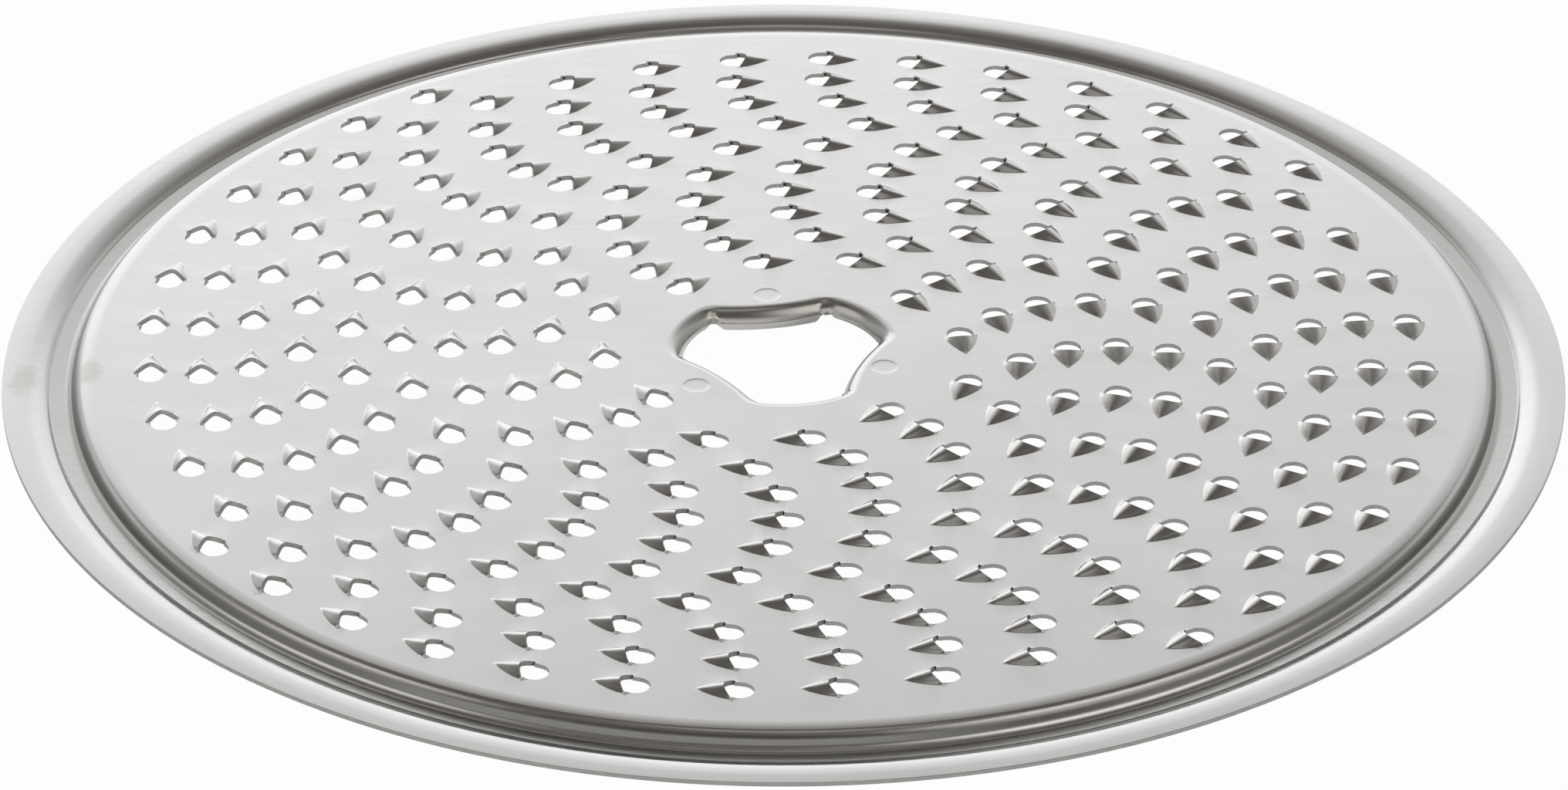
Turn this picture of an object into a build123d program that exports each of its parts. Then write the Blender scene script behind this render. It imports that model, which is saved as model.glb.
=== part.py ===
from build123d import *
from math import cos, degrees, hypot, pi, radians, sin, sqrt
import os

# Rasping disc of a food processor, pressed and punched from one round of stainless sheet.
# Millimetres and degrees. The origin is on the axis, at the underside of the groove that the disc rests on.

# Sheet and rim
sheet = 0.4  # thickness of the sheet
disc_diameter = 140.0  # over the edge of the flange
flange_width = 3.1  # flat ring outside the groove
groove_outer_run = 1.1  # wall from the flange in to the groove floor
groove_floor = 1.97  # flat floor of the groove
groove_inner_run = 0.59  # steep wall from the groove floor in to the plate
groove_depth = 0.95  # flange down to groove floor
plate_rise = 0.6  # flange up to plate
plate_bevel = 0.35  # rounding of the plate's edge

# Drive hole: three round lobes with three bowed sides between them, and a collar turned down
drive_lobes = 3
lobe_radius = 9.1
lobe_angle = 40.0  # middle of the first lobe
lobe_spread = 50.0  # arc of each lobe
lobe_depth = 2.4  # how far the lobes reach out past the middles of the bowed sides
collar_clearance = 0.2  # collar's edge on the bowed sides, above the surface that the disc rests on
lobe_clearance = 0.85  # collar's edge on the lobes, where the sheet was stretched
lobe_tear = 4.0  # how far round the shorter edge reaches past a lobe's corner
collar_bevel = 0.9  # rounding where the plate turns down into the collar

# Round coining marks, one outside each bowed side
mark_diameter = 2.4
mark_depth = 0.08
mark_sides = 12  # flats round the mark's edge
mark_margin = 1.15  # from the collar's rounding out to the mark

# Rasp tooth, seen in plan with its mouth along +X and the corners of its mouth on the Y axis
mouth_width = 2.94
mouth_reach = 1.8  # from the mouth's corners to the front of the opening
lip_setback = 0.8  # from the mouth's corners back to the top of the lip
hood_length = 3.15  # from the mouth's corners back to the tail
hood_height = 0.57

# Spiral rows of teeth
spiral_arms = 4
spiral_lead = 18.0  # how far a row comes in on one turn
tooth_pitch = 8.643  # along a row
first_tooth_angle = 35.16
edge_margin = 3.52  # from the plate's edge in to the first tooth
hub_margin = 3.4  # least distance from the collar's rounding out to the last tooth

# Radii and heights that follow
disc_radius = disc_diameter / 2
flange_radius = disc_radius - flange_width
floor_radius = flange_radius - groove_outer_run
wall_radius = floor_radius - groove_floor
plate_radius = wall_radius - groove_inner_run
waist_radius = lobe_radius - lobe_depth  # where a bowed side comes nearest to the axis
mark_radius = waist_radius + collar_bevel + mark_margin + mark_diameter / 2
floor_top = sheet
flange_top = floor_top + groove_depth
plate_top = flange_top + plate_rise
plate_under = plate_top - sheet
under_bevel = collar_bevel - sheet * (2 - sqrt(2))  # keeps the collar's rounding one sheet thick
lobe_step = 360.0 / drive_lobes


def at_angle(radius, angle):
    return (radius * cos(radians(angle)), radius * sin(radians(angle)))


def drive_outline(growth):
    # Lobes and bowed sides in turn, grown outwards
    with BuildSketch() as outline:
        with BuildLine():
            for lobe in range(drive_lobes):
                middle = lobe_angle + lobe * lobe_step
                CenterArc((0, 0), lobe_radius, middle - lobe_spread / 2, lobe_spread)
                ThreePointArc(
                    at_angle(lobe_radius, middle + lobe_spread / 2),
                    at_angle(waist_radius, middle + lobe_step / 2),
                    at_angle(lobe_radius, middle + lobe_step - lobe_spread / 2),
                )
        make_face()
        if growth > 0:
            offset(amount=growth, kind=Kind.INTERSECTION)
    return outline.sketch


def tooth_places():
    # Each row winds inwards anticlockwise with its teeth evenly spaced, and each tooth faces round the axis
    inward = spiral_lead / (2 * pi)
    radius = plate_radius - edge_margin
    angle = radians(first_tooth_angle)
    places = []
    while radius > lobe_radius + collar_bevel + hub_margin:
        for arm in range(spiral_arms):
            turn = degrees(angle) + arm * 360.0 / spiral_arms
            places.append(Location((*at_angle(radius, turn), plate_top), (0, 0, turn + 90)))
        step = tooth_pitch / hypot(radius, inward)
        step = tooth_pitch / hypot(radius - inward * step / 2, inward)
        angle += step
        radius -= inward * step
    return places


half_mouth = mouth_width / 2
tail = Vector(-hood_length, 0, 0)
lip = Vector(-lip_setback, 0, hood_height)

# Solid of the hood, two sloping sides that rise from its tail to its lip
with BuildPart() as hood:
    with BuildSketch():
        with BuildLine():
            Polyline((-hood_length, 0), (0, -half_mouth), (0, half_mouth), close=True)
        make_face()
    extrude(amount=2 * hood_height)
    for side in (1, -1):
        foot_line = Vector(0, side * half_mouth, 0) - tail
        downward = (lip - tail).cross(foot_line) * side
        split(bisect_by=Plane(tail, x_dir=foot_line, z_dir=downward), keep=Keep.BOTTOM)

# Space under the hood, one sheet below its outside, and the opening in front of its lip
with BuildPart() as mouth:
    with Locations((0, 0, -sheet)):
        add(hood.part)
    with BuildSketch(Plane.XY.offset(-2 * sheet)):
        with BuildLine():
            Polyline(
                (-lip_setback, 0),
                (0, -half_mouth),
                (mouth_reach, -half_mouth / 2),
                (mouth_reach, half_mouth / 2),
                (0, half_mouth),
                close=True,
            )
        make_face()
    extrude(amount=2 * (sheet + hood_height))

with BuildPart() as grating_disc:
    # Plain round, pressed to the section of the rim
    with BuildSketch(Plane.XZ):
        with BuildLine():
            bevel_run = groove_inner_run * plate_bevel / (plate_top - floor_top)
            Polyline(
                (0, plate_top),
                (plate_radius - plate_bevel, plate_top),
                (plate_radius + bevel_run, plate_top - plate_bevel),
                (wall_radius, floor_top),
                (floor_radius, floor_top),
                (flange_radius, flange_top),
                (disc_radius, flange_top),
            )
            offset(amount=sheet, kind=Kind.INTERSECTION, side=Side.RIGHT)
        make_face()
    revolve(axis=Axis.Z)

    # Collar under the plate, with the turn of the sheet
    with BuildSketch(Plane.XY.offset(collar_clearance)):
        add(drive_outline(sheet))
    extrude(amount=plate_under - collar_clearance)
    with BuildSketch(Plane.XY.offset(plate_under)):
        add(drive_outline(sheet + under_bevel))
    extrude(amount=-under_bevel, taper=45)

    # Drive hole through the collar, and the turn seen from above
    with BuildSketch(Plane.XY.offset(collar_clearance)):
        add(drive_outline(0))
    extrude(amount=plate_top - collar_clearance, mode=Mode.SUBTRACT)
    with BuildSketch(Plane.XY.offset(plate_top)):
        add(drive_outline(collar_bevel))
    extrude(amount=-collar_bevel, taper=45, mode=Mode.SUBTRACT)

    # Shorter collar on the lobes, torn off at their corners
    with BuildSketch(Plane.XY.offset(collar_clearance)):
        for lobe in range(drive_lobes):
            middle = lobe_angle + lobe * lobe_step
            reach = lobe_spread / 2 + lobe_tear
            with BuildLine():
                Polyline(
                    (0, 0),
                    at_angle(2 * lobe_radius, middle - reach),
                    at_angle(2 * lobe_radius, middle + reach),
                    close=True,
                )
            make_face()
    extrude(amount=lobe_clearance - collar_clearance, mode=Mode.SUBTRACT)

    # Coining marks
    with BuildSketch(Plane.XY.offset(plate_top)):
        with PolarLocations(mark_radius, drive_lobes, start_angle=lobe_angle + lobe_step / 2):
            RegularPolygon(mark_diameter / 2, mark_sides)
    extrude(amount=-mark_depth, mode=Mode.SUBTRACT)

    # Punched teeth
    with Locations(*tooth_places()):
        add(hood.part)
    with Locations(*tooth_places()):
        add(mouth.part, mode=Mode.SUBTRACT)

grating_disc.part.label = "grating_disc"
os.makedirs("parts", exist_ok=True)
export_step(grating_disc.part, "parts/grating_disc.step")
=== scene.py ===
import bpy
import bmesh
from math import acos, atan2, cos, hypot, pi, radians, sin
from mathutils import Matrix, Vector, noise


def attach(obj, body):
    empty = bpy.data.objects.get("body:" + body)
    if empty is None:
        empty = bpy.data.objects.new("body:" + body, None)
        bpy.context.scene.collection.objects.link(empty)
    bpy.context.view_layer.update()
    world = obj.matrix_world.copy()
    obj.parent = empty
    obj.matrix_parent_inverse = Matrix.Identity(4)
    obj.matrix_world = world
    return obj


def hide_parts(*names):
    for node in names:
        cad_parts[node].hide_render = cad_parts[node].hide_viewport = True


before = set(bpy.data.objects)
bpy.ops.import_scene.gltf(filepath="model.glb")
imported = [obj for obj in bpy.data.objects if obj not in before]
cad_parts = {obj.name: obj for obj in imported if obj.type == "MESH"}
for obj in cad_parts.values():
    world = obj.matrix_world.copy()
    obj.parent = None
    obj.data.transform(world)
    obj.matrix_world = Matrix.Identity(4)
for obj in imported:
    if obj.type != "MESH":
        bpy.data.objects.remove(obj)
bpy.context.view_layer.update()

mm = 0.001
closeBy = 0.01 * mm
sameSpot = 0.002 * mm


def clearSelection():
    if bpy.context.mode != "OBJECT":
        bpy.ops.object.mode_set(mode="OBJECT")
    bpy.ops.object.select_all(action="DESELECT")


def activate(piece):
    clearSelection()
    piece.select_set(True)
    bpy.context.view_layer.objects.active = piece


def nameNew(name):
    piece = bpy.context.object
    piece.name = name
    piece.data.name = name
    return piece


def applyPlace(piece):
    activate(piece)
    bpy.ops.object.transform_apply(location=True, rotation=True, scale=True)


def editAll(piece):
    activate(piece)
    bpy.ops.object.mode_set(mode="EDIT")
    bpy.ops.mesh.select_mode(type="VERT")
    bpy.ops.mesh.select_all(action="SELECT")


def editPicked(piece, picks):
    # picks says of each vertex place whether it is wanted
    activate(piece)
    bpy.ops.object.mode_set(mode="EDIT")
    bpy.ops.mesh.select_mode(type="VERT")
    bpy.ops.mesh.select_all(action="DESELECT")
    grid = bmesh.from_edit_mesh(piece.data)
    for vert in grid.verts:
        vert.select_set(bool(picks(vert.co)))
    grid.select_flush_mode()
    bmesh.update_edit_mesh(piece.data)


def weldLoop(piece, picks):
    # the outer loop of a piece, which the flat of the plate is later filled up to
    group = piece.vertex_groups.new(name="weld")
    group.add([v.index for v in piece.data.vertices if picks(v.co)], 1.0, "REPLACE")


def joinAll(pieces, name):
    activate(pieces[0])
    for piece in pieces:
        piece.select_set(True)
    bpy.ops.object.join()
    return nameNew(name)


# steel
steel = {
    "colour": (0.763, 0.764, 0.765),
    "cloudColour": (0.737, 0.737, 0.735),
    # painted shade: the wall drawn down is darkened for the dark it reflects inside the groove
    "paintedWallShade": (0.26, 0.254, 0.245),
    # painted shade: the groove between the plate and the flange is darkened
    "paintedGrooveShade": (0.64, 0.637, 0.628),
    # painted shade: the collar turned down into the drive hole, below the plate, is darkened
    "paintedCollarShade": (0.5, 0.49, 0.472),
    "stainColour": (0.69, 0.682, 0.663),
    "roughness": (0.145, 0.185),
    # added to the roughness of each zone
    "rougher": {"worn": -0.04, "stain": 0.08, "drawn": 0.06, "groove": 0.1, "hub": 0.02},
    "cutColours": ((0.4, 0.394, 0.383), (0.49, 0.482, 0.47)),
    "cutRoughness": (0.34, 0.5),
    # zones by radius in mm: the wall drawn down, the groove, the bend over to it, and the drive hole
    "drawn": (63.18, 63.52, 63.78, 63.9),
    "groove": (63.8, 64.0, 65.7, 66.0),
    "bends": (62.4, 62.75, 63.3, 63.55),
    "hub": (0.0, 0.1, 10.2, 10.8),
    # dried stains: middle and half size in mm, and their uneven edge
    "stains": [((-67.9, -5.0), (1.5, 3.4)), ((-62.0, -4.6), (1.35, 2.6))],
    "stainNoise": 700,
    "stainDetail": 3,
    "stainUneven": 1.1,
    "stainEdge": (1.0, 1.6),
    # heights in mm
    "wornHeights": (2.3, 2.5),
    "collarShadeHeights": (1.5, 1.88),
    # name, stretch, scale and detail of each noise, and the span of it that is used
    "grains": [
        ("Cloud", (1, 1, 1), 55, 3.0),
        ("Streak", (0.05, 1, 1), 2600, 2.0),
        ("Speckle", (1, 1, 1), 7500, 1.0),
    ],
    "grainSpan": (0.3, 0.7),
    # relief in mm, and the share of it that is left in the groove
    "grainDepth": 0.0003,
    "bendGrainDepth": 0.0018,
    "grooveGrain": 0.15,
}


def addNode(nodes, kind, **settings):
    node = nodes.new("ShaderNode" + kind)
    for name, value in settings.items():
        setattr(node, name, value)
    return node


def ranged(nodes, links, value, low, high, toLow=0.0, toHigh=1.0):
    node = addNode(nodes, "MapRange", interpolation_type="SMOOTHSTEP")
    for name, number in (("From Min", low), ("From Max", high), ("To Min", toLow), ("To Max", toHigh)):
        node.inputs[name].default_value = number
    links.new(value, node.inputs["Value"])
    return node.outputs["Result"]


def mixed(nodes, links, factor, first, second):
    node = addNode(nodes, "Mix", data_type="RGBA")
    for slot, colour in (("A", first), ("B", second)):
        if isinstance(colour, tuple):
            node.inputs[slot].default_value = (*colour, 1)
        else:
            links.new(colour, node.inputs[slot])
    links.new(factor, node.inputs["Factor"])
    return node.outputs["Result"]


def sheetGrain():
    # rolled sheet: soft clouds, faint streaks along the rolling direction and a fine speckle
    group = bpy.data.node_groups.new("sheetGrain", "ShaderNodeTree")
    for grain in steel["grains"]:
        group.interface.new_socket(grain[0], in_out="OUTPUT", socket_type="NodeSocketFloat")
    nodes, links = group.nodes, group.links
    out = nodes.new("NodeGroupOutput")
    coord = addNode(nodes, "TexCoord")
    for name, stretch, scale, detail in steel["grains"]:
        place = addNode(nodes, "Mapping")
        place.inputs["Scale"].default_value = stretch
        texture = addNode(nodes, "TexNoise")
        texture.inputs["Scale"].default_value = scale
        texture.inputs["Detail"].default_value = detail
        links.new(coord.outputs["Object"], place.inputs["Vector"])
        links.new(place.outputs["Vector"], texture.inputs["Vector"])
        links.new(ranged(nodes, links, texture.outputs["Fac"], *steel["grainSpan"]), out.inputs[name])
    return group


def zone(nodes, links, radius, stops):
    # one between the two inner radii, gone outside the outer two
    rise = ranged(nodes, links, radius, stops[0] * mm, stops[1] * mm)
    fall = ranged(nodes, links, radius, stops[2] * mm, stops[3] * mm, 1.0, 0.0)
    both = addNode(nodes, "Math", operation="MULTIPLY")
    links.new(rise, both.inputs[0])
    links.new(fall, both.inputs[1])
    return both.outputs[0]


def makeSteel(grainGroup):
    material = bpy.data.materials.new("satinSteel")
    material.use_nodes = True
    nodes, links = material.node_tree.nodes, material.node_tree.links
    shader = nodes["Principled BSDF"]
    shader.inputs["Metallic"].default_value = 1.0
    grain = addNode(nodes, "Group", node_tree=grainGroup)
    coord = addNode(nodes, "TexCoord")
    flat = addNode(nodes, "VectorMath", operation="MULTIPLY")
    flat.inputs[1].default_value = (1, 1, 0)
    links.new(coord.outputs["Object"], flat.inputs[0])
    length = addNode(nodes, "VectorMath", operation="LENGTH")
    links.new(flat.outputs["Vector"], length.inputs[0])
    radius = length.outputs["Value"]
    parts = addNode(nodes, "SeparateXYZ")
    links.new(coord.outputs["Object"], parts.inputs["Vector"])
    drawn = zone(nodes, links, radius, steel["drawn"])
    bends = zone(nodes, links, radius, steel["bends"])
    groove = zone(nodes, links, radius, steel["groove"])
    turned = zone(nodes, links, radius, steel["hub"])
    worn = ranged(nodes, links, parts.outputs["Z"], *[h * mm for h in steel["wornHeights"]])
    # painted shade on the collar, fading out between these two heights
    low, high = [h * mm for h in steel["collarShadeHeights"]]
    sunkShade = ranged(nodes, links, parts.outputs["Z"], low, high, 1.0, 0.0)
    collar = addNode(nodes, "Math", operation="MULTIPLY")
    links.new(sunkShade, collar.inputs[0])
    links.new(turned, collar.inputs[1])
    # dried stains, with an uneven edge
    stain = None
    for middle, half in steel["stains"]:
        place = addNode(nodes, "Mapping", vector_type="TEXTURE")
        place.inputs["Location"].default_value = (middle[0] * mm, middle[1] * mm, 0)
        place.inputs["Scale"].default_value = (half[0] * mm, half[1] * mm, 1)
        away = addNode(nodes, "VectorMath", operation="LENGTH")
        uneven = addNode(nodes, "TexNoise")
        uneven.inputs["Scale"].default_value = steel["stainNoise"]
        uneven.inputs["Detail"].default_value = steel["stainDetail"]
        edge = addNode(nodes, "Math", operation="MULTIPLY_ADD")
        edge.inputs[1].default_value = steel["stainUneven"]
        links.new(flat.outputs["Vector"], place.inputs["Vector"])
        links.new(coord.outputs["Object"], uneven.inputs["Vector"])
        links.new(place.outputs["Vector"], away.inputs[0])
        links.new(uneven.outputs["Fac"], edge.inputs[0])
        links.new(away.outputs["Value"], edge.inputs[2])
        spot = ranged(nodes, links, edge.outputs[0], *steel["stainEdge"], 1.0, 0.0)
        if stain is None:
            stain = spot
        else:
            either = addNode(nodes, "Math", operation="MAXIMUM")
            links.new(stain, either.inputs[0])
            links.new(spot, either.inputs[1])
            stain = either.outputs[0]
    colour = mixed(nodes, links, grain.outputs["Cloud"], steel["colour"], steel["cloudColour"])
    # stains are the steel's own colour; the groove, the wall drawn down and the sunk collar are darkened as
    # painted shade
    for mask, tint in (
        (stain, "stainColour"),
        (groove, "paintedGrooveShade"),
        (drawn, "paintedWallShade"),
        (collar.outputs[0], "paintedCollarShade"),
    ):
        colour = mixed(nodes, links, mask, colour, steel[tint])
    links.new(colour, shader.inputs["Base Color"])
    # roughness: smoother where worn, duller where stained or drawn
    smooth, dull = steel["roughness"]
    rough = ranged(nodes, links, grain.outputs["Streak"], 0.0, 1.0, smooth, dull)
    masks = {"worn": worn, "stain": stain, "drawn": drawn, "groove": groove, "hub": turned}
    for name, change in steel["rougher"].items():
        step = addNode(nodes, "Math", operation="MULTIPLY_ADD")
        step.inputs[1].default_value = change
        links.new(masks[name], step.inputs[0])
        links.new(rough, step.inputs[2])
        rough = step.outputs[0]
    links.new(rough, shader.inputs["Roughness"])
    # fine relief, ironed out in the groove and stronger where the sheet was stretched over a bend
    relief = addNode(nodes, "Bump")
    relief.inputs["Distance"].default_value = steel["grainDepth"] * mm
    ironed = ranged(nodes, links, groove, 0.0, 1.0, 1.0, steel["grooveGrain"])
    links.new(ironed, relief.inputs["Strength"])
    links.new(grain.outputs["Streak"], relief.inputs["Height"])
    peel = addNode(nodes, "Bump")
    peel.inputs["Distance"].default_value = steel["bendGrainDepth"] * mm
    links.new(bends, peel.inputs["Strength"])
    links.new(grain.outputs["Speckle"], peel.inputs["Height"])
    links.new(relief.outputs["Normal"], peel.inputs["Normal"])
    links.new(peel.outputs["Normal"], shader.inputs["Normal"])
    return material


def makeCutEdge(grainGroup):
    # sheared faces: torn grain across the thickness
    material = bpy.data.materials.new("cutSteel")
    material.use_nodes = True
    nodes, links = material.node_tree.nodes, material.node_tree.links
    shader = nodes["Principled BSDF"]
    shader.inputs["Metallic"].default_value = 1.0
    grain = addNode(nodes, "Group", node_tree=grainGroup)
    dark, light = steel["cutColours"]
    links.new(mixed(nodes, links, grain.outputs["Speckle"], dark, light), shader.inputs["Base Color"])
    smooth, dull = steel["cutRoughness"]
    links.new(ranged(nodes, links, grain.outputs["Streak"], 0, 1, smooth, dull), shader.inputs["Roughness"])
    relief = addNode(nodes, "Bump")
    relief.inputs["Distance"].default_value = steel["bendGrainDepth"] * mm
    links.new(grain.outputs["Speckle"], relief.inputs["Height"])
    links.new(relief.outputs["Normal"], shader.inputs["Normal"])
    return material


# sheet: thickness and height of the plate above the table in mm, and what still counts as a smooth bend
sheet = {
    "thickness": 0.4,
    "plateTop": 1.95,
    "smoothAngle": 42,
}

# section of the rim from the plate outwards: radius, height, rounding
rim = {
    "start": (61.75, 1.95),
    "corners": [
        (62.2, 1.95, 0.34),
        (63.4, 1.785, 0.6),
        (63.95, 0.4, 0.6),
        (65.8, 0.57, 0.1),
        (66.16, 0.86, 0.22),
        (66.72, 1.085, 0.2),
        (67.45, 1.3, 0.34),
        (68.4, 1.35, 0.45),
    ],
    "edge": (69.98, 1.35),
    "bendSteps": 6,
    "turns": 240,
    "edgeRounding": 0.07,
    "edgeSteps": 2,
}


def makeRim():
    radius, height = rim["start"]
    clearSelection()
    bpy.ops.mesh.primitive_plane_add(size=mm, location=(radius * mm, 0, height * mm))
    ring = nameNew("rim")
    applyPlace(ring)
    editAll(ring)
    bpy.ops.mesh.merge(type="CENTER")
    for nextRadius, nextHeight in [c[:2] for c in rim["corners"]] + [rim["edge"]]:
        step = ((nextRadius - radius) * mm, 0, (nextHeight - height) * mm)
        bpy.ops.mesh.extrude_region_move(TRANSFORM_OT_translate={"value": step})
        radius, height = nextRadius, nextHeight
    for cornerRadius, cornerHeight, rounding in rim["corners"]:
        corner = Vector((cornerRadius * mm, 0, cornerHeight * mm))
        editPicked(ring, lambda co: (co - corner).length < closeBy)
        bpy.ops.mesh.bevel(offset=rounding * mm, segments=rim["bendSteps"], affect="VERTICES")
    editAll(ring)
    bpy.ops.mesh.spin(steps=rim["turns"], angle=2 * pi, center=(0, 0, 0), axis=(0, 0, 1))
    bpy.ops.mesh.select_all(action="SELECT")
    bpy.ops.mesh.remove_doubles(threshold=sameSpot)
    clearSelection()
    weldLoop(ring, lambda co: hypot(co.x, co.y) < rim["start"][0] * mm + closeBy)
    print("rim spun", len(ring.data.polygons), "faces")
    return ring


# drive hole, three lobes and three bowed sides, with its edge turned down in six tongues
hub = {
    "lobes": 3,
    "lobeRadius": 9.1,
    "lobeAngle": 40.0,
    "lobeSpread": 50.0,
    "waistRadius": 6.7,
    "lobeSteps": 26,
    "waistSteps": 40,
    "cornerCut": 0.4,
    "cornerSteps": 3,
    "bend": 1.45,
    "bendFall": 1.4,
    "lean": 0.2,
    "flat": 0.08,
    # height of each tongue's foot, and how far along its slanted end runs
    "lobeFoot": 0.62,
    "lobeTear": 0.8,
    "waistFoot": 0.2,
    "waistTear": 0.95,
    "tornFoot": 1.22,
    # shares of a tongue's depth at which its loops lie
    "falls": (0.005, 0.02, 0.045, 0.08, 0.125, 0.18, 0.25, 0.34, 0.45, 0.58, 0.72, 0.86, 1.0),
    # crumpled corners: depth, reach, scale and seed of the noise, and how far a corner's mitre may stretch
    "crumple": 0.36,
    "crumpleReach": 0.8,
    "crumpleScale": 3.1,
    "crumpleSeed": 3,
    "sharpest": 0.3,
    "longestMitre": 1.35,
}


def flatGap(place, other):
    return hypot(place[0] - other[0], place[1] - other[1])


def tongueRun(places, foot, tear):
    # adds to each place (x, y, lean) the height of the foot, which rises to the torn corners
    start, end = places[0], places[-1]
    run = []
    for place in places:
        away = min(flatGap(place, start), flatGap(place, end))
        run.append((*place, foot + (hub["tornFoot"] - foot) * max(0.0, 1 - away / tear)))
    return run


def hubOutline():
    # places round the hole: x, y, lean (0 on a lobe, 1 mid waist), foot
    lobe, waist = hub["lobeRadius"], hub["waistRadius"]
    half = radians(hub["lobeSpread"] / 2)
    step = 2 * pi / hub["lobes"]
    runs = []
    for i in range(hub["lobes"]):
        middle = radians(hub["lobeAngle"]) + i * step
        run = []
        for k in range(hub["lobeSteps"] + 1):
            angle = middle - half + 2 * half * k / hub["lobeSteps"]
            run.append((lobe * cos(angle), lobe * sin(angle), 0.0))
        runs.append(tongueRun(run, hub["lobeFoot"], hub["lobeTear"]))
        # bowed side, an arc through both corners and its middle
        mid = middle + step / 2
        gap = step / 2 - half
        cornerX, cornerY = lobe * cos(gap), lobe * sin(gap)
        centre = (cornerX ** 2 + cornerY ** 2 - waist ** 2) / (2 * (cornerX - waist))
        bow = centre - waist
        swing = atan2(cornerY, centre - cornerX)
        run = []
        for k in range(hub["waistSteps"] + 1):
            turn = -swing + 2 * swing * k / hub["waistSteps"]
            x, y = centre - bow * cos(turn), bow * sin(turn)
            lean = cos(turn / swing * pi / 2)
            run.append((x * cos(mid) - y * sin(mid), x * sin(mid) + y * cos(mid), lean))
        runs.append(tongueRun(run, hub["waistFoot"], hub["waistTear"]))
    # corners rounded off, from run to run
    places = []
    cut = hub["cornerCut"]
    for n, run in enumerate(runs):
        start, end = run[0], run[-1]
        nextRun = runs[(n + 1) % len(runs)]
        places += [p for p in run if min(flatGap(p, start), flatGap(p, end)) > cut]
        after = [p for p in nextRun if flatGap(p, end) > cut][0]
        before = places[-1]
        for k in range(1, hub["cornerSteps"] + 1):
            t = k / (hub["cornerSteps"] + 1)
            weights = ((1 - t) ** 2, 2 * t * (1 - t), t ** 2)
            blend = zip(*(before, end, after))
            places.append(tuple(sum(w * v for w, v in zip(weights, values)) for values in blend))
    corners = [Vector((run[0][0], run[0][1], 0)) for run in runs]
    return places, corners


def makeHub():
    outline, corners = hubOutline()
    count = len(outline)
    flat = [Vector((x, y, 0)) for x, y, lean, foot in outline]
    outward = []
    for i in range(count):
        before = (flat[i] - flat[i - 1]).normalized()
        after = (flat[(i + 1) % count] - flat[i]).normalized()
        along = (before + after).normalized()
        mitre = min(1 / max(along.dot(after), hub["sharpest"]), hub["longestMitre"])
        outward.append(Vector((along.y, -along.x, 0)) * mitre)
    bend, bendFall = hub["bend"], hub["bendFall"]
    noise.seed_set(hub["crumpleSeed"])
    clearSelection()
    bpy.ops.mesh.primitive_circle_add(vertices=count, radius=hub["lobeRadius"] * mm, location=(0, 0, 0))
    collar = nameNew("collar")
    # loop by loop from the flat of the plate over the bend and down to the foot
    for n, share in enumerate((None, 0.0) + hub["falls"]):
        if n > 0:
            editPicked(collar, lambda co: False)
            grid = bmesh.from_edit_mesh(collar.data)
            grid.verts.ensure_lookup_table()
            for vert in grid.verts[-count:]:
                vert.select_set(True)
            grid.select_flush_mode()
            bmesh.update_edit_mesh(collar.data)
            bpy.ops.mesh.extrude_edges_move(TRANSFORM_OT_translate={"value": (0, 0, -0.1 * mm)})
        clearSelection()
        for i, vert in enumerate(collar.data.vertices[-count:]):
            x, y, lean, foot = outline[i]
            if share is None:
                reach, fall = bend + hub["flat"], 0.0
            else:
                fall = share * (sheet["plateTop"] - foot)
                turn = acos(1 - min(fall / bendFall, 1.0))
                reach = bend * (1 - sin(turn)) + lean * hub["lean"] * sin(turn) * (1 - share)
            place = flat[i] + outward[i] * reach
            place.z = sheet["plateTop"] - fall
            # crumpled where the corner tore
            near = min((flat[i] - corner).length for corner in corners)
            loose = max(0.0, 1 - near / hub["crumpleReach"]) * (share or 0.0) ** 0.5
            place += noise.noise_vector(place * hub["crumpleScale"]) * hub["crumple"] * loose
            vert.co = place * mm
    weldLoop(collar, lambda co: False)
    collar.vertex_groups["weld"].add(list(range(count)), 1.0, "REPLACE")
    print("collar turned down", len(collar.data.polygons), "faces")
    return collar


# coining marks between the hole and the teeth
mark = {
    # radius and angle of each
    "places": [(9.88, 99.0), (10.3, 221.2), (9.62, 339.4)],
    "rings": [(1.3, 0.0), (1.24, 0.0), (1.19, -0.006), (1.1, -0.028), (1.05, -0.031), (0.6, -0.032)],
    "sides": 36,
}


def makeMark():
    clearSelection()
    outer = mark["rings"][0][0]
    bpy.ops.mesh.primitive_circle_add(vertices=mark["sides"], radius=outer * mm, fill_type="NGON")
    dent = nameNew("mark")
    editAll(dent)
    size, level = mark["rings"][0]
    for nextSize, nextLevel in mark["rings"][1:]:
        bpy.ops.mesh.inset(thickness=(size - nextSize) * mm, depth=(nextLevel - level) * mm)
        size, level = nextSize, nextLevel
    bpy.ops.mesh.poke()
    clearSelection()
    weldLoop(dent, lambda co: co.length > outer * mm - closeBy)
    return dent


# one rasp tooth, mouth along +X, corners of its mouth on the Y axis
tooth = {
    "mouthHalf": 1.47,
    "mouthReach": 1.8,
    "holeHalf": 1.22,
    "holeCentre": 0.58,
    "lipSetback": 0.8,
    "tail": 3.15,
    "height": 0.57,
    "archPower": 1.75,
    "sidePower": 1.5,
    "root": 0.03,
    # flat border round the foot, and how sharp a corner it still follows
    "skirt": 0.09,
    "skirtSharpest": 0.6,
    # torn corners of the mouth, from the hood's foot round into the hole and back
    "outerBurr": [(0.03, -1.18, 0.08), (0.24, -1.23, 0.02)],
    "innerBurr": [(0.22, 1.26, 0.0), (0.05, 1.28, 0.03)],
    "across": 8,
    "along": 4,
    "front": 8,
    # curl of metal at the outer corner: place, half sizes
    "curl": (-0.03, -1.38, 0.06),
    "curlSize": (0.21, 0.11, 0.09),
    "curlSides": 9,
    "curlRings": 6,
}


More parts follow.
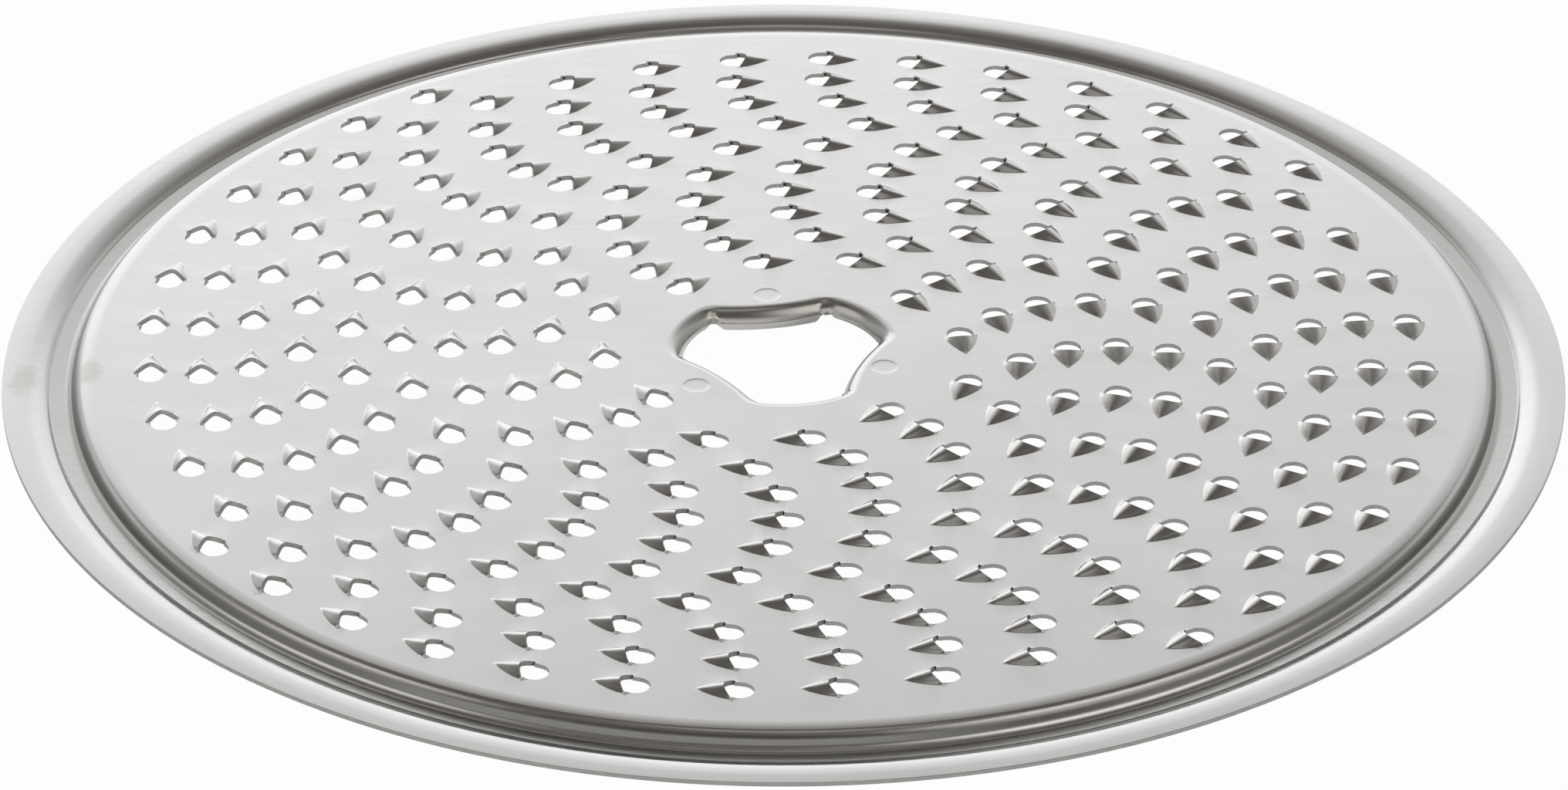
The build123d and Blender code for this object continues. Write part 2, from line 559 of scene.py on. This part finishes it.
def hoodPoint(u, v):
    # u from side to side, v from the tail to the lip
    arch = 1 - abs(u) ** tooth["archPower"]
    lipX = -tooth["lipSetback"] * arch
    x = -tooth["tail"] + v * (lipX + tooth["tail"])
    half = tooth["mouthHalf"] * (1 - (max(0.0, -x) / tooth["tail"]) ** tooth["sidePower"])
    rise = tooth["height"] * (x + tooth["tail"]) / (tooth["tail"] - tooth["lipSetback"])
    rise = min(rise, tooth["height"])
    root = tooth["root"] if v > 0 else 0.0
    return Vector((x, u * half, root + (rise - root) * arch)) * mm


def makeTooth():
    across, along = tooth["across"], tooth["along"]
    clearSelection()
    bpy.ops.mesh.primitive_grid_add(x_subdivisions=along, y_subdivisions=across, size=2)
    hood = nameNew("hood")
    for vert in hood.data.vertices:
        vert.co = hoodPoint(vert.co.y, (vert.co.x + 1) / 2)
    editAll(hood)
    bpy.ops.mesh.remove_doubles(threshold=sameSpot)
    clearSelection()
    # inner outline: tail, one side, round the front of the mouth, the other side
    side = [hoodPoint(-1, k / along) for k in range(1, along + 1)]
    front = [Vector(place) * mm for place in tooth["outerBurr"]]
    reach = tooth["mouthReach"] - tooth["holeCentre"]
    for k in range(tooth["front"] + 1):
        turn = -pi / 2 + pi * k / tooth["front"]
        x, y = tooth["holeCentre"] + reach * cos(turn), tooth["holeHalf"] * sin(turn)
        front.append(Vector((x, y, 0)) * mm)
    front += [Vector(place) * mm for place in tooth["innerBurr"]]
    inner = [hoodPoint(0, 0)] + side + front + [Vector((p.x, -p.y, p.z)) for p in reversed(side)]
    count = len(inner)
    clearSelection()
    bpy.ops.mesh.primitive_circle_add(vertices=count, radius=2 * mm)
    skirt = nameNew("skirt")
    for i, vert in enumerate(skirt.data.vertices):
        vert.co = inner[i]
    editAll(skirt)
    bpy.ops.mesh.extrude_edges_move(TRANSFORM_OT_translate={"value": (0, 0, -0.1 * mm)})
    clearSelection()
    for i, vert in enumerate(skirt.data.vertices[-count:]):
        before = (inner[i] - inner[i - 1]).to_2d().normalized()
        after = (inner[(i + 1) % count] - inner[i]).to_2d().normalized()
        along2d = (before + after).normalized()
        spread = tooth["skirt"] * mm / max(along2d.dot(after), tooth["skirtSharpest"])
        vert.co = Vector((inner[i].x + along2d.y * spread, inner[i].y - along2d.x * spread, 0))
    weldLoop(skirt, lambda co: False)
    skirt.vertex_groups["weld"].add(list(range(count, 2 * count)), 1.0, "REPLACE")
    whole = joinAll([skirt, hood], "tooth")
    editAll(whole)
    bpy.ops.mesh.remove_doubles(threshold=closeBy)
    clearSelection()
    print("tooth modelled", len(whole.data.polygons), "faces")
    return whole


def makeCurl():
    clearSelection()
    sides, rings = tooth["curlSides"], tooth["curlRings"]
    bpy.ops.mesh.primitive_uv_sphere_add(segments=sides, ring_count=rings, radius=mm)
    curl = nameNew("curl")
    curl.scale = tooth["curlSize"]
    curl.location = Vector(tooth["curl"]) * mm
    applyPlace(curl)
    return curl


# spiral rows of teeth
rows = {
    "arms": 4,
    "lead": 18.0,
    "pitch": 8.643,
    "startRadius": 59.72,
    "startAngle": 35.16,
    "endRadius": 13.4,
}


def toothPlaces():
    inward = rows["lead"] / (2 * pi)
    radius, angle = rows["startRadius"], radians(rows["startAngle"])
    places = []
    while radius > rows["endRadius"]:
        for arm in range(rows["arms"]):
            places.append((radius, angle + arm * 2 * pi / rows["arms"]))
        step = rows["pitch"] / hypot(radius, inward)
        step = rows["pitch"] / hypot(radius - inward * step / 2, inward)
        angle += step
        radius -= inward * step
    return places


def copyTo(piece, radius, angle, turn):
    twin = piece.copy()
    twin.data = piece.data.copy()
    place = Vector((radius * cos(angle), radius * sin(angle), sheet["plateTop"])) * mm
    twin.matrix_world = Matrix.Translation(place) @ Matrix.Rotation(angle + turn, 4, "Z")
    bpy.context.collection.objects.link(twin)
    return twin


def makeDisc():
    oneTooth, oneMark = makeTooth(), makeMark()
    pieces = [makeRim(), makeHub()]
    pieces += [copyTo(oneTooth, r, a, pi / 2) for r, a in toothPlaces()]
    pieces += [copyTo(oneMark, r, radians(a), 0) for r, a in mark["places"]]
    bpy.data.objects.remove(oneTooth)
    bpy.data.objects.remove(oneMark)
    disc = joinAll(pieces, "disc_sheet")
    applyPlace(disc)
    print("joined", len(pieces), "pieces")
    # flat of the plate, filled between the rim, the teeth, the marks and the collar
    editPicked(disc, lambda co: False)
    disc.vertex_groups.active_index = disc.vertex_groups["weld"].index
    bpy.ops.object.vertex_group_select()
    bpy.ops.mesh.fill(use_beauty=True)
    bpy.ops.mesh.select_all(action="SELECT")
    bpy.ops.mesh.normals_make_consistent(inside=False)
    clearSelection()
    if sum(p.normal.z * p.area for p in disc.data.polygons) < 0:
        editAll(disc)
        bpy.ops.mesh.flip_normals()
        clearSelection()
    disc.vertex_groups.clear()
    disc.data.materials.clear()
    grainGroup = sheetGrain()
    disc.data.materials.append(makeSteel(grainGroup))
    disc.data.materials.append(makeCutEdge(grainGroup))
    # one sheet thick, downwards from the top face
    wall = disc.modifiers.new("wall", "SOLIDIFY")
    wall.thickness = sheet["thickness"] * mm
    wall.offset = -1
    wall.use_quality_normals = True
    wall.material_offset_rim = 1
    bpy.ops.object.modifier_apply(modifier=wall.name)
    editPicked(disc, lambda co: hypot(co.x, co.y) > rim["edge"][0] * mm - closeBy)
    bpy.ops.mesh.bevel(offset=rim["edgeRounding"] * mm, segments=rim["edgeSteps"], affect="EDGES")
    # curls at the teeth
    oneCurl = makeCurl()
    curls = [copyTo(oneCurl, r, a, pi / 2) for r, a in toothPlaces()]
    bpy.data.objects.remove(oneCurl)
    allCurls = joinAll(curls, "curls")
    applyPlace(allCurls)
    allCurls.data.materials.append(disc.data.materials[0])
    disc = joinAll([disc, allCurls], "disc_sheet")
    # the collar's foot stays clear of the table
    activate(disc)
    for vert in disc.data.vertices:
        if hypot(vert.co.x, vert.co.y) < rows["endRadius"] * mm:
            vert.co.z = max(vert.co.z, hub["waistFoot"] * mm)
    bpy.ops.object.shade_smooth_by_angle(angle=radians(sheet["smoothAngle"]))
    evened = disc.modifiers.new("evened", "WEIGHTED_NORMAL")
    evened.keep_sharp = True
    evened.thresh = 0
    bpy.ops.object.modifier_apply(modifier=evened.name)
    print("disc filled and thickened", len(disc.data.polygons), "faces")
    return disc


disc = makeDisc()
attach(disc, "root")
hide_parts("grating_disc")

# camera, at the place found for the picture
view = {
    "place": (0.8638, -510.9131, 292.6999),
    "pitch": 0.524612,
    "yaw": -0.0016273,
    "roll": 0.000541,
    "lens": 150.0546,
    "sensor": 36,
    "nearest": 0.01,
}


def makeCamera():
    data = bpy.data.cameras.new("camera")
    camera = bpy.data.objects.new("camera", data)
    bpy.context.scene.collection.objects.link(camera)
    turn = Matrix.Rotation(-view["yaw"], 4, "Z") @ Matrix.Rotation(pi / 2 - view["pitch"], 4, "X")
    turn = turn @ Matrix.Rotation(view["roll"], 4, "Z")
    camera.matrix_world = Matrix.Translation(Vector(view["place"]) * mm) @ turn
    data.sensor_width = view["sensor"]
    data.sensor_fit = "HORIZONTAL"
    data.lens = view["lens"]
    data.clip_start = view["nearest"]
    bpy.context.scene.camera = camera


makeCamera()

# studio
studio = {
    "floorSize": 3.0,
    "floorDrop": 0.02,
    "floorGrey": (0.85, 0.85, 0.85),
    "floorGlow": 0.97,
    "floorGlint": 0.55,
    # painted light and shade on the table inside the drive hole, seen only in the steel, from its near side
    # to its far right
    "holePaintedShade": (0.9, 0.3),
    "holeSpan": (2.5, 7.5),
    "holeTurn": 68,
    "holeReach": (12, 15),
    # light by the sine of the height above the horizon, behind the object and to its sides
    "back": [
        (0.26, (1.14, 1.14, 1.14)),
        (0.454, (1.09, 1.09, 1.088)),
        (0.495, (0.927, 0.926, 0.922)),
        (0.552, (0.655, 0.652, 0.647)),
        (0.643, (0.58, 0.57, 0.556)),
        (0.77, (0.33, 0.315, 0.295)),
        (0.9, (0.11, 0.1, 0.088)),
    ],
    "sides": [
        (0.0, (0.5, 0.494, 0.485)),
        (0.47, (0.58, 0.573, 0.562)),
        (0.6, (0.3, 0.29, 0.274)),
        (0.88, (0.11, 0.1, 0.088)),
    ],
    "backTurn": 92,
    "backSpread": (4, 33),
    "leftward": 0.5,
    # low card in front
    "cardTurn": 250,
    "cardSpread": (38, 43),
    "cardTop": (0.4, 0.47),
    "card": (0.85, 0.84, 0.815),
    # soft patches: turn, height, whole within and gone beyond so many degrees, colour
    "patches": [
        (268, 68, 22, 34, (0.15, 0.138, 0.122)),
        (312, 14, 5, 13, (0.3, 0.29, 0.275)),
        (190, 40, 8, 24, (0.9, 0.875, 0.83)),
        (331, 44, 10, 32, (1.12, 1.09, 1.03)),
        (90, 86, 3, 13, (0.34, 0.33, 0.315)),
    ],
}


def makeFloor():
    clearSelection()
    bpy.ops.mesh.primitive_plane_add(size=studio["floorSize"], location=(0, 0, -studio["floorDrop"] * mm))
    floor = nameNew("floor")
    applyPlace(floor)
    material = bpy.data.materials.new("paleFloor")
    material.use_nodes = True
    nodes, links = material.node_tree.nodes, material.node_tree.links
    nodes.clear()
    out = addNode(nodes, "OutputMaterial")
    mix = addNode(nodes, "MixShader")
    glow = addNode(nodes, "Emission")
    plain = addNode(nodes, "BsdfDiffuse")
    path = addNode(nodes, "LightPath")
    seen = addNode(nodes, "Math", operation="MULTIPLY")
    seen.inputs[1].default_value = studio["floorGlow"]
    glint = addNode(nodes, "Math", operation="MULTIPLY_ADD")
    coord = addNode(nodes, "TexCoord")
    across = addNode(nodes, "VectorMath", operation="DOT_PRODUCT")
    turn = radians(studio["holeTurn"])
    across.inputs[1].default_value = (cos(turn), sin(turn), 0)
    away = addNode(nodes, "VectorMath", operation="LENGTH")
    links.new(coord.outputs["Object"], across.inputs[0])
    links.new(coord.outputs["Object"], away.inputs[0])
    near, far = [place * mm for place in studio["holeSpan"]]
    # painted light and shade: the floor under the hole glows brighter on its near side, for glossy rays
    # only
    inHole = ranged(nodes, links, across.outputs["Value"], near, far, *studio["holePaintedShade"])
    reach = ranged(nodes, links, away.outputs["Value"], *[place * mm for place in studio["holeReach"]])
    level = addNode(nodes, "Mix")
    links.new(reach, level.inputs["Factor"])
    links.new(inHole, level.inputs["A"])
    level.inputs["B"].default_value = studio["floorGlint"]
    links.new(level.outputs["Result"], glint.inputs[1])
    plain.inputs["Color"].default_value = (*studio["floorGrey"], 1)
    links.new(path.outputs["Is Camera Ray"], seen.inputs[0])
    links.new(path.outputs["Is Glossy Ray"], glint.inputs[0])
    links.new(seen.outputs[0], glint.inputs[2])
    links.new(glint.outputs[0], mix.inputs["Fac"])
    links.new(plain.outputs["BSDF"], mix.inputs[1])
    links.new(glow.outputs["Emission"], mix.inputs[2])
    links.new(mix.outputs["Shader"], out.inputs["Surface"])
    floor.data.materials.append(material)


makeFloor()


def makeWorld():
    world = bpy.data.worlds.new("studio")
    bpy.context.scene.world = world
    world.use_nodes = True
    nodes, links = world.node_tree.nodes, world.node_tree.links
    nodes.clear()
    out = addNode(nodes, "OutputWorld")
    sky = addNode(nodes, "Background")
    plain = addNode(nodes, "Background")
    mix = addNode(nodes, "MixShader")
    path = addNode(nodes, "LightPath")
    coord = addNode(nodes, "TexCoord")
    parts = addNode(nodes, "SeparateXYZ")
    links.new(coord.outputs["Generated"], parts.inputs["Vector"])
    ramps = {}
    for side in ("back", "sides"):
        ramp = addNode(nodes, "ValToRGB")
        links.new(parts.outputs["Z"], ramp.inputs["Fac"])
        stops = ramp.color_ramp.elements
        while len(stops) < len(studio[side]):
            stops.new(0.5)
        for stop, (height, colour) in zip(stops, studio[side]):
            stop.position = height
            stop.color = (*colour, 1)
        ramps[side] = ramp
    # a little brighter to the left
    lean = addNode(nodes, "Math", operation="MULTIPLY_ADD")
    lean.inputs[1].default_value = -studio["leftward"]
    lean.inputs[2].default_value = 1
    links.new(parts.outputs["X"], lean.inputs[0])
    bright = addNode(nodes, "VectorMath", operation="SCALE")
    links.new(ramps["back"].outputs["Color"], bright.inputs[0])
    links.new(lean.outputs[0], bright.inputs["Scale"])
    # how far round from the back
    level = addNode(nodes, "VectorMath", operation="MULTIPLY")
    level.inputs[1].default_value = (1, 1, 0)
    unit = addNode(nodes, "VectorMath", operation="NORMALIZE")
    links.new(coord.outputs["Generated"], level.inputs[0])
    links.new(level.outputs["Vector"], unit.inputs[0])

    def near(vector, turn, height, within, beyond):
        # one within so many degrees of a direction, gone beyond
        turn, height = radians(turn), radians(height)
        toward = addNode(nodes, "VectorMath", operation="DOT_PRODUCT")
        toward.inputs[1].default_value = (cos(turn) * cos(height), sin(turn) * cos(height), sin(height))
        links.new(vector, toward.inputs[0])
        return ranged(nodes, links, toward.outputs["Value"], cos(radians(beyond)), cos(radians(within)))

    behind = near(unit.outputs["Vector"], studio["backTurn"], 0, *studio["backSpread"])
    light = mixed(nodes, links, behind, ramps["sides"].outputs["Color"], bright.outputs["Vector"])
    before = near(unit.outputs["Vector"], studio["cardTurn"], 0, *studio["cardSpread"])
    low = ranged(nodes, links, parts.outputs["Z"], *studio["cardTop"], 1.0, 0.0)
    card = addNode(nodes, "Math", operation="MULTIPLY")
    links.new(before, card.inputs[0])
    links.new(low, card.inputs[1])
    light = mixed(nodes, links, card.outputs[0], light, studio["card"])
    for turn, height, within, beyond, colour in studio["patches"]:
        patch = near(coord.outputs["Generated"], turn, height, within, beyond)
        light = mixed(nodes, links, patch, light, colour)
    links.new(light, sky.inputs["Color"])
    links.new(path.outputs["Is Camera Ray"], mix.inputs["Fac"])
    links.new(sky.outputs["Background"], mix.inputs[1])
    links.new(plain.outputs["Background"], mix.inputs[2])
    plain.inputs["Color"].default_value = (1, 1, 1, 1)
    links.new(mix.outputs["Shader"], out.inputs["Surface"])


makeWorld()
print("studio set")
bpy.context.scene.view_settings.view_transform = "Standard"
